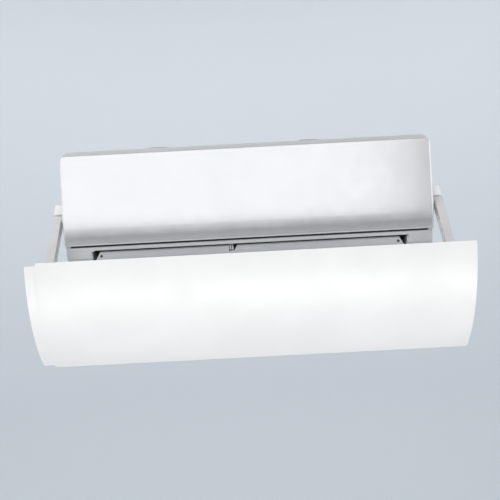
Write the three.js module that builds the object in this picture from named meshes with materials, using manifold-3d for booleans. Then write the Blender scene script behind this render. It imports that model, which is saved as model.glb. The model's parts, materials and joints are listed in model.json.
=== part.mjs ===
// Wall-mounted split air conditioner with a curved air deflector carried on two side arms.
// Millimetres. The origin is the centre of the wall plate's back face: +Y goes into the wall,
// -Y comes out into the room, +Z is up and X runs along the unit.
import * as THREE from 'three';
import { mergeVertices } from 'three/addons/utils/BufferGeometryUtils.js';
import Module from 'manifold-3d';

const wasm = await Module();
wasm.setup();

// ---------------------------------------------------------------- driving dimensions
const gap = 0.4; // running clearance between neighbouring pieces
const wall = 2.5; // moulded wall thickness
const radians = Math.PI / 180;

const unit = { half: 428, top: 137, bottom: -155, back: -8, rim: -191, band: -187 };
const panel = { half: 430, face: -205, top: 125, bottom: -83, sheet: 3, returnY: -193 };
const panelBend = { radius: 325, startZ: -5 }; // the fascia curves back below this height
const panelHinge = { y: -196, z: 114 };
const opening = { left: -378, right: 326, bottom: -62, top: 118 };
const outlet = { half: 372, lower: [-131, -147.1] };
const fan = { y: -100, z: -38, r: 50, left: -358, right: 312, blades: 13 };
const coil = { left: -366, right: 318, depth: 22, teeth: 26 };
const filter = { front: -182.5, back: -179.5, bottom: -64, top: 132 };

const louverPivot = { y: -139.6, z: -141.7 };
const louverOpenAtRest = 6 * radians;
const vaneRow = { y: -105.7, z: -126, leverage: 25, first: -330, pitch: 88 };
const flowTilt = 40 * radians; // the outlet duct runs forward and this far below horizontal

const deflector = { left: -475, right: 500, top: -117.3, bottom: -366, sheet: 3 };
const extensionLength = 116;
const extensionDrawn = 25; // how far the left extension stands out at rest; the right one is pushed in
const bow = { radius: 308, y: 5, z: -110 }; // the arc that the deflector's outer face follows in section
const armPivot = { y: -170, z: -20 };
const tiltPivot = { y: -269, z: -127 };
const arm = { inner: 439, outer: 458, half: 12 };

// ---------------------------------------------------------------- materials
const finish = (color, roughness, metalness = 0) =>
  new THREE.MeshStandardMaterial({ color, roughness, metalness });
const glossWhite = finish(0xf4f5f7, 0.12);
const satinWhite = finish(0xeeeff1, 0.35);
const deflectorWhite = finish(0xf3f3f3, 0.3);
const casingWhite = finish(0xe2e4e6, 0.5);
const darkPlastic = finish(0x1c1d20, 0.5);
const zincSteel = finish(0xb4b8bb, 0.35, 0.9);
const finAluminium = finish(0xc9cdd2, 0.35, 0.9);
const copper = finish(0xb8683f, 0.3, 0.9);
const brass = finish(0xc9a24a, 0.3, 0.9);
const rubber = finish(0x222222, 0.85);
const boardGreen = finish(0x1f6b3c, 0.5);
const meshGrey = finish(0x6c747c, 0.8);
const foamTape = finish(0xd8d8d4, 0.9);
const lensSmoke = finish(0x3a2a30, 0.1);

// ---------------------------------------------------------------- solid helpers
// A closed three.js geometry as a manifold-3d solid.
function solid(geometry) {
  const bare = geometry.index ? geometry.toNonIndexed() : geometry.clone();
  bare.deleteAttribute('normal');
  bare.deleteAttribute('uv');
  const merged = mergeVertices(bare, 1e-4);
  return new wasm.Manifold(
    new wasm.Mesh({
      numProp: 3,
      vertProperties: merged.attributes.position.array,
      triVerts: new Uint32Array(merged.index.array),
    }),
  );
}

const join = (...solids) => solids.flat().reduce((whole, next) => whole.add(next));
const cut = (base, ...tools) => tools.flat().reduce((left, tool) => left.subtract(tool), base);

function box([x0, x1], [y0, y1], [z0, z1]) {
  const made = new THREE.BoxGeometry(x1 - x0, y1 - y0, z1 - z0);
  return solid(made.translate((x0 + x1) / 2, (y0 + y1) / 2, (z0 + z1) / 2));
}

function extrude(outline, depth) {
  const shape = new THREE.Shape(outline.map(([a, b]) => new THREE.Vector2(a, b)));
  return new THREE.ExtrudeGeometry(shape, { depth, bevelEnabled: false });
}

const axisX = new THREE.Vector3(1, 0, 0);
const axisY = new THREE.Vector3(0, 1, 0);
const axisZ = new THREE.Vector3(0, 0, 1);

// An outline of (y, z) points, extruded along X.
function slabX(outline, [x0, x1]) {
  const turn = new THREE.Matrix4().makeBasis(axisY, axisZ, axisX);
  return solid(extrude(outline, x1 - x0).applyMatrix4(turn).translate(x0, 0, 0));
}

// An outline of (x, z) points, extruded along Y.
function slabY(outline, [y0, y1]) {
  const turn = new THREE.Matrix4().makeBasis(axisX, axisZ, axisY.clone().negate());
  return solid(extrude(outline, y1 - y0).applyMatrix4(turn).translate(0, y1, 0));
}

// An outline of (x, y) points, extruded along Z.
const slabZ = (outline, [z0, z1]) => solid(extrude(outline, z1 - z0).translate(0, 0, z0));

function rodX([x0, x1], y, z, radius, sides = 20) {
  const made = new THREE.CylinderGeometry(radius, radius, x1 - x0, sides).rotateZ(Math.PI / 2);
  return solid(made.translate((x0 + x1) / 2, y, z));
}

function rodY(x, [y0, y1], z, radius, sides = 20) {
  const made = new THREE.CylinderGeometry(radius, radius, y1 - y0, sides);
  return solid(made.translate(x, (y0 + y1) / 2, z));
}

function rodZ(x, y, [z0, z1], radius, sides = 16) {
  const made = new THREE.CylinderGeometry(radius, radius, z1 - z0, sides).rotateX(Math.PI / 2);
  return solid(made.translate(x, y, (z0 + z1) / 2));
}

// The outline of a wall of even thickness that follows a line of points.
function strip(points, thickness) {
  const line = points.map(([a, b]) => new THREE.Vector2(a, b));
  const normals = line.slice(1).map((p, i) => {
    const d = p.clone().sub(line[i]).normalize();
    return new THREE.Vector2(-d.y, d.x);
  });
  const offsets = line.map((p, i) => {
    const before = normals[Math.max(i - 1, 0)];
    const after = normals[Math.min(i, normals.length - 1)];
    const mitre = before.clone().add(after).normalize();
    return mitre.multiplyScalar(thickness / 2 / mitre.dot(after));
  });
  const side = (sign) => line.map((p, i) => [p.x + sign * offsets[i].x, p.y + sign * offsets[i].y]);
  return [...side(1), ...side(-1).reverse()];
}

// Points of a circular arc in a plane. Angles are in degrees.
function arc(cx, cy, radius, from, to, steps) {
  return Array.from({ length: steps + 1 }, (_, i) => {
    const angle = (from + ((to - from) * i) / steps) * radians;
    return [cx + radius * Math.cos(angle), cy + radius * Math.sin(angle)];
  });
}

// A rectangle with its upper and lower corners rounded by separate radii.
function roundedRectangle([x0, x1], [y0, y1], upper, lower = upper, steps = 3) {
  const corner = (x, y, radius, from) => (radius ? arc(x, y, radius, from, from + 90, steps) : [[x, y]]);
  return [
    ...corner(x1 - upper, y1 - upper, upper, 0),
    ...corner(x0 + upper, y1 - upper, upper, 90),
    ...corner(x0 + lower, y0 + lower, lower, 180),
    ...corner(x1 - lower, y0 + lower, lower, 270),
  ];
}

// A round or many-sided tube along a smooth curve through the points.
function tube(points, radius, sides, steps) {
  const curve = new THREE.CatmullRomCurve3(points.map((p) => new THREE.Vector3(...p)), false, 'centripetal');
  const section = arc(0, 0, radius, 0, 360 - 360 / sides, sides - 1);
  const shape = new THREE.Shape(section.map(([a, b]) => new THREE.Vector2(a, b)));
  return solid(new THREE.ExtrudeGeometry(shape, { steps, bevelEnabled: false, extrudePath: curve }));
}

const mirrored = (made) => made.mirror([1, 0, 0]);
const bothSides = (made) => [made, mirrored(made)];

// ---------------------------------------------------------------- scene graph
const airConditioner = new THREE.Group();

function piece(name, made, material, parent = airConditioner) {
  const mesh = made.getMesh();
  const geometry = new THREE.BufferGeometry()
    .setAttribute('position', new THREE.BufferAttribute(new Float32Array(mesh.vertProperties), 3))
    .setIndex(new THREE.BufferAttribute(new Uint32Array(mesh.triVerts), 1));
  const node = new THREE.Mesh(geometry, material);
  node.name = name;
  parent.add(node);
  return node;
}

// ---------------------------------------------------------------- wall plate
// Pressed steel plate with screw holes, lightening slots, two upper hooks and a lower flange.
function wallPlate() {
  const sheet = 1.5;
  const plate = slabY(roundedRectangle([-340, 340], [-95, 95], 14), [-sheet, 0]);
  const hook = join(
    box([230, 270], [-10, 0], [86.5, 88.5]),
    box([230, 270], [-10, -8.5], [86.5, 95]),
  );
  const flange = box([-330, 330], [-3.4, 0], [-95, -93.5]);
  const screwHole = (x, z) => rodY(x, [-4, 1], z, 3.2, 8);
  const screws = [-300, -150, 150, 300].flatMap((x) => [screwHole(x, 70), screwHole(x, -70)]);
  const slots = [-225, -75, 75, 225].map((x) =>
    slabY(roundedRectangle([x - 42, x + 42], [-18, 18], 10), [-4, 1]),
  );
  return cut(join(plate, bothSides(hook), flange), screws, slots);
}
piece('wall_plate', wallPlate(), zincSteel);

// ---------------------------------------------------------------- outlet duct frame of reference
const vaneX = Array.from({ length: 8 }, (_, i) => vaneRow.first + i * vaneRow.pitch);

// A solid drawn with Y against the flow and Z across the duct, its origin on the duct's lower wall.
const placeInDuct = (made, x = 0) =>
  made.rotate([flowTilt / radians, 0, 0]).translate([x, vaneRow.y, vaneRow.z]);

// ---------------------------------------------------------------- rear casing with the blower scroll
function rearCasing() {
  const back = strip(
    [[-60, 130.5], [-5.5, 130.5], [-5.5, -70], [-40, -88], [-40, -149.5], [-131, -149.5]],
    wall,
  );
  const scrollArc = arc(fan.y, fan.z, 63, 40, -55, 9);
  const scroll = strip([[-5.5, 38], [-32, 30], ...scrollArc], wall);
  const ductFloor = strip([scrollArc.at(-1), outlet.lower], wall);
  const endWall = [
    [-6, 38], [-48, 38], [-93, 96], [-104, 91], [-150, 22], [-150, -62], [-140, -66],
    [-118, -126], [-126, -142], [-60, -149], [-41, -149], [-41, -88], [-6, -70],
  ];
  const flare = placeInDuct(
    solid(new THREE.BoxGeometry(wall, 66, 46).rotateZ(0.55)).translate([345.5, 0, 24]),
  );
  const shell = join(
    slabX(back, [-424, 424]),
    slabX(scroll, [-376, 328.5]),
    slabX(ductFloor, [-368.8, 368.8]),
    slabX(endWall, [-376, -373.5]),
    slabX(endWall, [326, 328.5]),
    flare,
  );
  const hookSlot = box([226, 274], [-12, 0], [76, 89.5]);
  const pipeWindow = box([-418, -380], [-48, -30], [-132, -94]);
  const vanePivots = vaneX.map((x) => placeInDuct(rodZ(0, 0, [-4, 4], 2.4, 10), x));
  const screwHoles = [-150, 150].map((x) => rodZ(x, -90, [-153, -146], 2.4, 10));
  const bearingSeat = rodX([-380, -370], fan.y, fan.z, 15.4);
  const motorWindow = rodX([324, 331], fan.y, fan.z, 24);
  return cut(shell, bothSides(hookSlot), pipeWindow, vanePivots, screwHoles, bearingSeat, motorWindow);
}
piece('rear_casing', rearCasing(), casingWhite);

// ---------------------------------------------------------------- front frame
// Outer casing: sides, top band, service opening, chin and the outlet's surround.
function frontFrame() {
  const { half, top, bottom, back, rim, band } = unit;
  const chin = [[-187.7, -95], [-184, -112], [-167, -128], [-145, -146], [-136.5, -151.8]];
  const side = [
    [back, top], [band, top], [band, 104], [rim, 101], [rim, -80], [-192, -84.5], [-187.5, -94.5],
    ...chin.slice(1), [-128, bottom], [-50, bottom], [-44, -150], [-44, -100], [back, -80],
  ];
  const cheek = [
    [-184.5, -96.5], ...chin.slice(1, -1), [-137.5, -151], [-134.4, -146.8], [-122, -136.6],
    [-122, -112], [-150, -99], [-178, -96.5],
  ];
  // The lip dips in behind the fascia's lower edge, which leaves a shadow groove under the fascia.
  const lip = strip(
    [
      [-189.75, -76], [-189.75, -79.2], [-182.6, -80.6], [-182.6, -87.2], [-189.2, -88.8],
      [-187.6, -94.2], [-182, -94.2],
    ],
    wall,
  );
  const grooveEnd = [[-191, -79.5], [-191.7, -84.5], [-187.8, -94.5], [-181, -94.5], [-181, -79.5]];
  const earNose = arc(panelHinge.y, panelHinge.z, 5.3, 240, 120, 6);
  const ear = slabX([[-184.6, 107], [-193, 109.5], ...earNose, [-193, 118.8], [-184.6, 121]], [383, 388]);
  const shell = join(
    bothSides(slabX(side, [half - wall, half])),
    box([-half, half], [band, back], [top - wall, top]),
    box([-half, half], [rim, rim + wall], [-79.5, 103]),
    box([-half, half], [rim, band + wall], [100.5, 103]),
    box([-half, half], [band, band + wall], [100.5, top]),
    slabX(lip, [-half, half]),
    bothSides(slabX(grooveEnd, [half - 9, half])),
    bothSides(slabX(strip(chin, wall), [outlet.half, half])),
    bothSides(slabX(cheek, [outlet.half - wall, outlet.half])),
    slabX(strip([[-136.5, -151.8], [-130, -153.75], [-120, -153.75]], wall), [-half, half]),
    box([-half, half], [-121, -50], [bottom, bottom + wall]),
    bothSides(ear),
  );
  const outline = slabY(roundedRectangle([-half, half], [bottom, top], 12, 3, 6), [-210, 0]);
  const snapTabs = [-390, -299, -58, 23, 186, 267, 383].map((x) =>
    box([x - 5, x + 5], [band + 0.5, band + 3], [top - 1, top + 1.6]),
  );
  const filterSlots = [[-377, -29], [-23, 325]].map((x) =>
    box(x, [filter.front - 1.3, filter.back + 1.3], [130, 140]),
  );
  const service = [[opening.left, -32], [-20, opening.right]].map((x) =>
    box(x, [-195, band + wall + 0.5], [opening.bottom, opening.top]),
  );
  const grilleSeat = box([-396, 396], [-168, -28], [130, 140]);
  const hingeBores = bothSides(rodX([380, 391], panelHinge.y, panelHinge.z, 2.9, 14));
  const louverBores = bothSides(rodX([366, 376], louverPivot.y, louverPivot.z, 3, 12));
  const buttonBore = rodY(372, [-195, -186], -18, 5.6, 16);
  const screwHoles = [-150, 150].map((x) => rodZ(x, -90, [-157, -151], 2.4, 10));
  const holes = [filterSlots, service, grilleSeat, hingeBores, louverBores, buttonBore, screwHoles].flat();
  return join(cut(shell.intersect(outline), holes), snapTabs);
}
piece('front_frame', frontFrame(), satinWhite);

// ---------------------------------------------------------------- inlet grille
function topGrille() {
  const plate = box([-395, 395], [-167, -29], [132.2, 136.6]);
  const columns = 7;
  const rows = 5;
  const columnPitch = 784 / columns;
  const rowPitch = 132 / rows;
  const slots = Array.from({ length: columns * rows }, (_, i) => {
    const x = -392 + (i % columns) * columnPitch;
    const y = -164 + Math.floor(i / columns) * rowPitch;
    return box([x + 3, x + columnPitch - 3], [y + 2.5, y + rowPitch - 2.5], [130, 139]);
  });
  return cut(plate, slots);
}
piece('top_grille', topGrille(), satinWhite);

// ---------------------------------------------------------------- front panel
// Lift-up fascia: flat above, bending gently back towards its lower edge, with short side returns.
function frontPanel() {
  const { half, face, top, bottom, sheet, returnY } = panel;
  const bendEnd = Math.asin((panelBend.startZ - bottom) / panelBend.radius) / radians;
  const curve = (radius) => arc(face + panelBend.radius, panelBend.startZ, radius, 180, 180 + bendEnd, 8);
  const block = slabX(
    [
      [-199, top], [face + 1.5, top], [face, top - 1.5], ...curve(panelBend.radius),
      [returnY, bottom], [returnY, 110], [-199, 110],
    ],
    [-half, half],
  );
  const hollow = slabX(
    [[-188, 121], [face + sheet, 121], ...curve(panelBend.radius - sheet), [-191, -90], [-188, -90]],
    [-half + sheet, half - sheet],
  );
  const outline = slabY(roundedRectangle([-half, half], [bottom - 2, top], 11, 2), [-210, -180]);
  const lug = slabX([[-202.5, 122], [-202.5, 105], [-194, 110], [-192.6, 114], [-194, 118]], [376, 379.6]);
  const pin = rodX([379, 393], panelHinge.y, panelHinge.z, 2.4, 14);
  const latch = box([198, 212], [-195.4, -192.4], [-78, -75.5]);
  return join(cut(block, hollow).intersect(outline), bothSides(join(lug, pin)), bothSides(latch));
}
piece('front_panel', frontPanel(), glossWhite);

// ---------------------------------------------------------------- air filters
// Framed mesh screens that lift out through the slots in the top band.
function airFilter([x0, x1]) {
  const mid = (filter.front + filter.back) / 2;
  const sheet = box([x0 + 1, x1 - 1], [mid - 0.4, mid + 0.4], [filter.bottom + 1, filter.top - 1]);
  const rib = 3.5;
  const depth = [filter.front, filter.back];
  const height = [filter.bottom, filter.top];
  const uprights = [0, 1, 2, 3].map((i) => {
    const x = x0 + ((x1 - x0 - rib) * i) / 3;
    return box([x, x + rib], depth, height);
  });
  const rails = [0, 1, 2, 3].map((i) => {
    const z = filter.bottom + ((filter.top - filter.bottom - rib) * i) / 3;
    return box([x0, x1], depth, [z, z + rib]);
  });
  const middle = (x0 + x1) / 2;
  const tab = box([middle - 22, middle + 22], depth, [filter.top - 1, filter.top + 8]);
  return join(sheet, uprights, rails, tab);
}
piece('filter_left', airFilter([-376, -30]), meshGrey);
piece('filter_right', airFilter([-22, 324]), meshGrey);

// ---------------------------------------------------------------- evaporator
// Finned slab between two end plates: a comb of fins on a thin spine, drawn with its foot at the origin.
function finnedSlab(length) {
  const pitch = (coil.right - coil.left) / coil.teeth;
  const fin = 3.2;
  const half = coil.depth / 2;
  const comb = [[coil.left, half], [coil.left, half - 3]];
  for (let i = 0; i < coil.teeth; i++) {
    const x = coil.left + (i + 0.5) * pitch;
    comb.push([x - fin / 2, half - 3], [x - fin / 2, -half], [x + fin / 2, -half], [x + fin / 2, half - 3]);
  }
  comb.push([coil.right, half - 3], [coil.right, half]);
  return slabZ(comb, [0, length]);
}

// Each slab stands on (y, z) and leans back by the given angle from vertical.
const slabs = [
  { name: 'evaporator_front', y: -165, z: -66, lean: 0, length: 96 },
  { name: 'evaporator_top', y: -160, z: 37, lean: -36, length: 84 },
  { name: 'evaporator_rear', y: -38, z: 56, lean: 40, length: 72 },
];
for (const { name, y, z, lean, length } of slabs) {
  const node = piece(name, finnedSlab(length), finAluminium);
  node.position.set(0, y, z);
  node.rotation.x = lean * radians;
}

// End plate that ties the three slabs together, with the copper return bends brazed on its outer face.
function coilPlate([x0, x1], outward) {
  const spine = [[-165, -68], [-165, 32], [-114, 104], [-86, 111], [-38, 53]];
  const plate = slabX(strip(spine, 25), [x0, x1]);
  const face = outward > 0 ? x1 - 0.5 : x0 + 0.5;
  const bends = [[-165, -56], [-165, -24], [-165, 8], [-148, 50], [-126, 82]].map(([y, z], i) => {
    const rise = i < 3 ? [0, 20] : [11, 16];
    const reach = outward * 14;
    return tube([
      [face, y, z],
      [face + reach * 0.7, y + rise[0] * 0.1, z + rise[1] * 0.1],
      [face + reach, y + rise[0] * 0.5, z + rise[1] * 0.5],
      [face + reach * 0.7, y + rise[0] * 0.9, z + rise[1] * 0.9],
      [face, y + rise[0], z + rise[1]],
    ], 3.4, 5, 5);
  });
  return join(plate, bends);
}
piece('coil_plate_left', coilPlate([-368.5, -367], -1), zincSteel);
piece('coil_plate_right', coilPlate([319, 320.5], -1).mirror([1, 0, 0]).translate([639.5, 0, 0]), zincSteel);

// ---------------------------------------------------------------- drain pan
// Trough under the front slab; its underside is the outlet duct's roof. A spout takes the hose.
function drainPan() {
  const trough = strip([[-179.4, -66.5], [-179.4, -90.5], [-173, -92.8], [-150, -84], [-146.5, -72]], 2.2);
  const end = [[-179.4, -68], [-179.4, -90.5], [-173, -92.8], [-150, -84], [-146.5, -73]];
  const spout = rodX([-398, -370], -170, -82, 7.5, 12);
  return cut(
    join(slabX(trough, [-372, 324]), slabX(end, [-372, -370]), slabX(end, [322, 324]), spout),
    rodX([-402, -366], -170, -82, 5.5, 12),
  );
}
piece('drain_pan', drainPan(), foamTape);

// ---------------------------------------------------------------- blower
// Crossflow wheel: curved blades between discs, drawn about its own axis.
function blowerWheel() {
  const blade = [...arc(0, 0, 8, -52, 52, 2), ...arc(0, 0, 6.6, 52, -52, 2)];
  const blades = Array.from({ length: fan.blades }, (_, i) => {
    const placed = slabX(blade, [fan.left + 1, fan.right - 1]).rotate([-28, 0, 0]).translate([0, 0, 42.6]);
    return placed.rotate([(360 / fan.blades) * i, 0, 0]);
  });
  const ring = (x) => cut(rodX([x, x + 2.5], 0, 0, fan.r, 24), rodX([x - 1, x + 4], 0, 0, 36, 16));
  const span = fan.right - fan.left - 2.5;
  const middleRing = ring(fan.left + span / 2);
  const ends = [fan.left, fan.right - 2.5].map((x) => rodX([x, x + 2.5], 0, 0, fan.r, 24));
  const hub = rodX([fan.right - 22, fan.right], 0, 0, 13, 16);
  const stub = rodX([fan.left - 19, fan.left + 1], 0, 0, 4, 12);
  return cut(join(blades, middleRing, ends, hub, stub), rodX([fan.right - 20, fan.right + 2], 0, 0, 4.4, 12));
}
const blower = new THREE.Group();
blower.position.set(0, fan.y, fan.z);
airConditioner.add(blower);
piece('blower_wheel', blowerWheel(), darkPlastic, blower);
piece('motor_shaft', rodX([fan.right - 19.6, 341.4], 0, 0, 4, 12), zincSteel, blower);

piece(
  'bearing_bush',
  cut(
    join(rodX([-381, -366], fan.y, fan.z, 15), rodX([-381, -378], fan.y, fan.z, 19)),
    rodX([-378.6, -364], fan.y, fan.z, 4.4, 12),
  ),
  rubber,
);

// Motor: a stepped can with a bearing nose, held by a bolted strap.
const motorCan = join(
  rodX([346, 392], fan.y, fan.z, 40, 32),
  rodX([342, 346], fan.y, fan.z, 18),
  rodX([392, 397], fan.y, fan.z, 16),
);
piece('fan_motor', cut(motorCan, rodX([338, 344], fan.y, fan.z, 5, 12)), zincSteel);

function motorStrap() {
  const ring = cut(rodX([360, 378], fan.y, fan.z, 44, 32), rodX([358, 380], fan.y, fan.z, 40.4, 32));
  const feet = join(
    box([360, 378], [fan.y + 40.8, -8], [-36, -32.5]),
    box([360, 378], [-156, fan.y - 40.8], [-36, -32.5]),
  );
  return join(ring, feet);
}
piece('motor_strap', motorStrap(), zincSteel);

// ---------------------------------------------------------------- outlet louver
// Curved flap drawn shut, about its own pivot: s runs up the flap and m outwards from it.
const flapUp = [-0.657, 0.754];
const flapOut = [-0.754, -0.657];
const onFlap = (s, m) => [s * flapUp[0] + m * flapOut[0], s * flapUp[1] + m * flapOut[1]];
const flap = { foot: -6, tip: 57, half: 363, supportX: -43, slotDepth: 46 };

function louver() {
  const { foot, tip, half, supportX, slotDepth } = flap;
  const steps = 12;
  const bulge = (t) => 3.4 * Math.sin(Math.PI * t);
  const curl = (t) => 8 * (Math.max(0, t - 0.6) / 0.4) ** 2; // the free edge rolls back into the mouth
  const line = (m, thin) =>
    Array.from({ length: steps + 1 }, (_, i) => {
      const t = i / steps;
      return onFlap(foot + (tip - foot) * t, m + bulge(t) * thin - curl(t));
    });
  const sheet = slabX([...line(5, 1), ...line(1.6, 0.9).reverse()], [-half, half]);
  // The ends are cut slanting, narrower at the free edge, with a small notch under the corner.
  const endCut = slabZ([[half - 15, tip + 6], [half + 5, tip + 6], [half + 5, 34]], [-12, 16]);
  const endNotch = slabZ([[half - 15, 53], [half - 9, 50], [half - 12, 45], [half - 18, 48]], [-12, 16]);
  // Slot that the middle support's clip stands in, widening on one side towards the free edge.
  const supportNotch = slabZ(
    [
      [supportX - 5.8, tip + 4], [supportX - 5.8, slotDepth], [supportX + 5.8, slotDepth],
      [supportX + 16, tip + 4],
    ],
    [-12, 16],
  );
  // slabZ draws (x, s) on the flap's face; this turns it to stand square on the flap.
  const ontoFlap = (made) => {
    const basis = new THREE.Matrix4().makeBasis(
      axisX,
      new THREE.Vector3(0, ...flapUp),
      new THREE.Vector3(0, -flapUp[1], flapUp[0]),
    );
    return made.transform(basis.elements);
  };
  const notches = [endCut, endNotch].flatMap((made) => [ontoFlap(made), mirrored(ontoFlap(made))]);
  const endPins = [rodX([-371.6, -half + 8], 0, 0, 2.6, 12), rodX([half - 8, 376.6], 0, 0, 2.6, 12)];
  const lug = slabX([[-2.6, 2.6], [2.6, 2.6], [2.6, -2.6], onFlap(0, 4), onFlap(4, 4)], [0, 3]);
  const lugs = [lug.translate([supportX - 8.5, 0, 0]), lug.translate([supportX + 5.5, 0, 0])];
  const clearHook = rodX([supportX - 4.2, supportX + 4.2], 0, 0, 6.2, 16);
  const middlePin = rodX([supportX - 8, supportX + 8], 0, 0, 2.4, 12);
  const body = cut(join(sheet, lugs), notches, ontoFlap(supportNotch), clearHook);
  return join(body, endPins, middlePin);
}
const louverNode = piece('louver', louver(), glossWhite);
louverNode.position.set(0, louverPivot.y, louverPivot.z);
louverNode.rotation.x = louverOpenAtRest;

// Arm with a hook round the flap's middle pin and a two-pronged clip that shows in the flap's slot.
function louverSupport() {
  const stem = [
    onFlap(5.2, -1.5), onFlap(6.5, 0.6), onFlap(36, 0.2), onFlap(55, -4), onFlap(54, -8), onFlap(10, -6),
    onFlap(2, -6.2),
  ];
  const mouth = slabX([[-1, 0], [-7, -3.4], [-3.4, -9], [1.6, -6]], [-4, 4]);
  const hook = cut(rodX([-3, 3], 0, 0, 5.6, 16), mouth);
  const near = flap.slotDepth + 2.6;
  const prong = [
    onFlap(near, -6), onFlap(near, 6.5), onFlap(near + 2, 7.8), onFlap(near + 6.5, 4.5), onFlap(near + 8, -5),
  ];
  const clip = [[-4.5, -1], [1, 4.5]].map((x) => slabX(prong, x));
  const support = cut(join(slabX(stem, [-3, 3]), hook, clip), rodX([-4, 4], 0, 0, 2.9, 12));
  return support.translate([flap.supportX, louverPivot.y, louverPivot.z]);
}
piece('louver_support', louverSupport(), satinWhite);

// Stepper motor on the flap's right-hand pin.
piece(
  'louver_motor',
  cut(
    join(
      rodX([380, 398], louverPivot.y + 8, louverPivot.z + 14, 13, 20),
      rodX([375, 381], louverPivot.y, louverPivot.z, 3.8, 12),
      box([378.5, 381], [louverPivot.y - 3, louverPivot.y + 20], [louverPivot.z - 2, louverPivot.z + 18]),
    ),
    rodX([374, 377], louverPivot.y, louverPivot.z, 2.9, 12),
  ),
  darkPlastic,
);

// ---------------------------------------------------------------- vertical vanes and their links
// Vane drawn in the duct's frame: Y against the flow, Z across it, pivot pin downwards at the origin.
function vane() {
  const blade = slabX([[10, 3], [10, 30], [4, 38], [-28, 38], [-28, 6.4], [-17, 6.4], [-17, 3]], [-0.8, 0.8]);
  const pin = rodZ(0, 0, [-3, 4], 2, 10);
  const fork = box([-4.6, 4.6], [-29, -19], [6.4, 9.6]);
  const slot = box([-2.1, 2.1], [-30, -22.9], [2, 9.7]);
  return cut(join(blade, pin, fork), slot);
}
// Bar under the vanes with one round post in each vane's fork.
function vaneLink(columns) {
  const bar = box([columns[0] - 12, columns.at(-1) + 12], [-28, -22], [3.1, 5.2]);
  return join(bar, columns.map((x) => rodZ(x, -vaneRow.leverage, [4, 9.4], 1.5, 8)));
}
const duct = new THREE.Group();
duct.position.set(0, vaneRow.y, vaneRow.z);
duct.rotation.x = flowTilt;
airConditioner.add(duct);
vaneX.forEach((x, i) => {
  const side = i < 4 ? 'left' : 'right';
  piece(`vane_${side}_${(i % 4) + 1}`, vane(), satinWhite, duct).position.x = x;
});
piece('vane_link_left', vaneLink(vaneX.slice(0, 4)), satinWhite, duct);
piece('vane_link_right', vaneLink(vaneX.slice(4)), satinWhite, duct);

// ---------------------------------------------------------------- controls
const trayX = [344, 418];
const trayZ = [14, 120];
piece(
  'control_box',
  cut(box(trayX, [-168, -108], trayZ), box([346, 416], [-172, -110], [16, 118])),
  darkPlastic,
);
function controlBoard() {
  const board = box([348, 414], [-130, -128.4], [18, 116]);
  const parts = [
    box([352, 372], [-146, -129], [22, 42]),
    box([378, 398], [-142, -129], [24, 38]),
    box([352, 366], [-150, -129], [84, 110]),
    box([376, 408], [-138, -129], [92, 108]),
  ];
  const capacitor = rodY(396, [-156, -129], 66, 11, 14);
  const relay = rodY(364, [-148, -129], 62, 7, 12);
  return join(board, parts, capacitor, relay);
}
piece('control_board', controlBoard(), boardGreen);
piece(
  'control_box_cover',
  cut(box([342.6, 419.4], [-171, -158], [12.6, 121.4]), box([343.6, 418.4], [-168.6, -156], [13.6, 120.4])),
  zincSteel,
);
function terminalBlock() {
  const body = box([346, 412], [-180, -158], [-58, -26]);
  const bays = [0, 1, 2, 3].map((i) => box([349 + i * 16, 360 + i * 16], [-182, -166], [-52, -32]));
  return cut(body, bays);
}
piece('terminal_block', terminalBlock(), darkPlastic);
piece(
  'display_board',
  join(box([344, 404], [-193.2, -191.4], [-66, -48]), box([348, 358], [-194.4, -193], [-62, -52])),
  boardGreen,
);
piece(
  'receiver_lens',
  slabZ([[372, -193.6], [390, -193.6], [388, -195.6], [374, -195.6]], [-62, -52]),
  lensSmoke,
);
piece(
  'auto_run_button',
  join(rodY(372, [-193.6, -186], -18, 5, 16), rodY(372, [-188, -186], -18, 7, 16)),
  satinWhite,
);
piece(
  'room_sensor',
  join(rodZ(332, -176, [-12, 18], 3, 10), box([328.9, 335], [-179, -173], [-2, 8])),
  copper,
);

// ---------------------------------------------------------------- refrigerant pipes
// They leave the coil's left end, pass the window in the rear casing and run along the pipe channel.
const pipeY = -24;
function pipeRun([startY, startZ], x, z, radius, end) {
  const route = [
    [-388, startY, startZ],
    [x, startY + 12, (startZ + z) / 2],
    [x, -90, z + 2],
    [x + 2, -48, z],
    [x + 18, pipeY - 2, z],
    [-350, pipeY, z],
    [end, pipeY, z],
  ];
  return tube(route, radius, 8, 24);
}
const flareNut = (x, z, radius, pipeRadius) =>
  cut(
    join(rodX([x, x + 22], pipeY, z, radius, 6), rodX([x - 4, x + 2], pipeY, z, radius * 0.82, 12)),
    rodX([x - 6, x + 24], pipeY, z, pipeRadius + gap, 12),
  );
piece('gas_pipe', pipeRun([-150, 0], -409, -104, 6, 40), copper);
piece('gas_flare_nut', flareNut(20, -104, 12, 6), brass);
piece('liquid_pipe', pipeRun([-160, -34], -394, -124, 3.4, 90), copper);
piece('liquid_flare_nut', flareNut(72, -124, 8, 3.4), brass);

// ---------------------------------------------------------------- casing screws
for (const [side, x] of [['left', -150], ['right', 150]]) {
  const screw = join(rodZ(x, -90, [-157, -155.3], 4.2, 16), rodZ(x, -90, [-155.6, -146.5], 2, 10));
  piece(`casing_screw_${side}`, cut(screw, box([x - 3, x + 3], [-90.5, -89.5], [-158, -156.2])), zincSteel);
}

// ---------------------------------------------------------------- deflector
// Points on the deflector's arc, by radius and height.
const arcAngle = (radius, z) => 180 + Math.asin((bow.z - z) / radius) / radians;
const sheetArc = (radius, from, to, steps) =>
  arc(bow.y, bow.z, radius, arcAngle(radius, from), arcAngle(radius, to), steps);

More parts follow.
